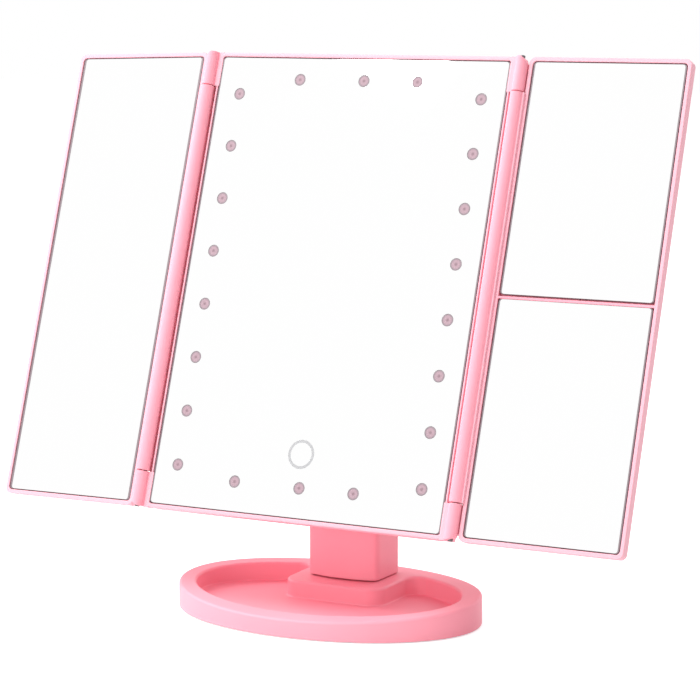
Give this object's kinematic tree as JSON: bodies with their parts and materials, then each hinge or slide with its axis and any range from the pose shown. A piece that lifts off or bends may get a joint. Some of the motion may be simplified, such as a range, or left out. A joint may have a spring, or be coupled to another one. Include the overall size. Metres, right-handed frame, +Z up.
{
  "type": "lighted tri-fold table mirror",
  "caption": "Lighted make-up mirror on a column over an oval tray: the centre pane tilts, the side wings fold shut over it, with a touch ring and a battery housing behind.",
  "frame": {"origin": "on the table, in the middle of the box around the whole mirror seen from above, which is within a millimetre of the middle of the oval base", "axes": "+Z up, +X to the right and +Y to the back, seen by someone who looks into the mirror"},
  "size_m": [0.3464, 0.109, 0.2767],
  "materials": {
    "pink_plastic": "satin",
    "mirror_glass": "polished",
    "window_plastic": "frosted",
    "grey_print": "printed",
    "foam_tape": "foam",
    "pad_rubber": "matte",
    "white_plastic": "satin",
    "black_plastic": "satin",
    "circuit_board": "satin",
    "wire_sleeve": "satin",
    "cell_jacket": "printed jacket",
    "steel": "satin"
  },
  "bodies": {
    "base": {"base_tray": "pink_plastic", "base_bottom_cover": "pink_plastic", "ballast_plate": "steel", "non_slip_pad": "pad_rubber", "base_screws": "steel", "column_bolt": "steel", "column_shell": "pink_plastic", "column_back_cover": "pink_plastic", "column_cover_screws": "steel"},
    "head": {"tilt_axle_bolt": "steel", "axle_nut": "steel", "spring_washer": "steel", "friction_washers": "white_plastic", "ear_caps": "pink_plastic", "centre_frame": "pink_plastic", "centre_mirror": "mirror_glass", "light_windows": "window_plastic", "touch_ring": "grey_print", "centre_mirror_tape": "foam_tape", "light_carrier": "white_plastic", "led_ring_board": "white_plastic", "leds": "window_plastic", "control_board": "circuit_board", "board_screws": "steel", "touch_pad": "steel", "touch_spring": "steel", "inner_wires": "wire_sleeve", "back_cover": "pink_plastic", "back_cover_screws": "steel", "battery_cells": "cell_jacket", "battery_springs": "steel", "battery_contacts": "steel", "switch_body": "black_plastic", "usb_socket": "steel", "usb_board": "circuit_board", "left_hinge_pins": "steel", "right_hinge_pins": "steel"},
    "battery_door": {"battery_door": "pink_plastic"},
    "power_switch": {"power_switch_knob": "black_plastic"},
    "left_wing": {"left_wing_frame": "pink_plastic", "left_mirror": "mirror_glass", "left_mirror_tape": "foam_tape"},
    "right_wing": {"right_wing_frame": "pink_plastic", "right_upper_mirror": "mirror_glass", "right_lower_mirror": "mirror_glass", "right_mirror_tape": "foam_tape"}
  },
  "joints": [
    {"name": "head_tilt", "type": "hinge", "parent": "base", "child": "head", "pos_m": [0, 0.0265, 0.0945], "axis": [-1, 0, 0], "range_deg": [-28.75, 71.25]},
    {"name": "left_wing_fold", "type": "hinge", "parent": "head", "child": "left_wing", "pos_m": [-0.08685, -0.03873, 0.05508], "axis": [0, 0.3214, 0.9469], "range_deg": [-15, 185]},
    {"name": "right_wing_fold", "type": "hinge", "parent": "head", "child": "right_wing", "pos_m": [0.08685, -0.03873, 0.05508], "axis": [0, -0.3214, -0.9469], "range_deg": [-20, 180]},
    {"name": "battery_door_slide", "type": "slide", "parent": "head", "child": "battery_door", "axis": [0, 0.3214, 0.9469], "range_m": [0, 0.058]},
    {"name": "power_switch_slide", "type": "slide", "parent": "head", "child": "power_switch", "axis": [0, 0.3214, 0.9469], "range_m": [0, 0.004]}
  ]
}
